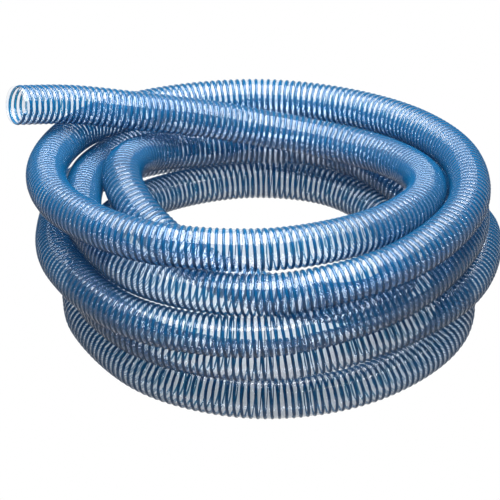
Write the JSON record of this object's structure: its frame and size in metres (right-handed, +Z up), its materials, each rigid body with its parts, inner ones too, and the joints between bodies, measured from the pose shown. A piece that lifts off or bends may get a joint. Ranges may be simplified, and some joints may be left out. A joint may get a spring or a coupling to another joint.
{
  "type": "coil of clear pvc suction hose",
  "caption": "Loose coil of clear PVC suction hose stiffened by a blue spiral rib, lying flat with its free end raised over the turns and both ends cut square and open.",
  "frame": {"origin": "on the floor under the middle of the coil's bounding box", "axes": "+Z up, +X along the longer side of the coil, -Y towards the pictured side, the free end points to -X"},
  "size_m": [0.7285, 0.7186, 0.3128],
  "materials": {
    "clear_blue_vinyl": "glossy, nearly colourless flexible vinyl wall with a translucent blue spiral rib moulded into it"
  },
  "bodies": {
    "root": {"hose": "clear_blue_vinyl"}
  },
  "joints": []
}
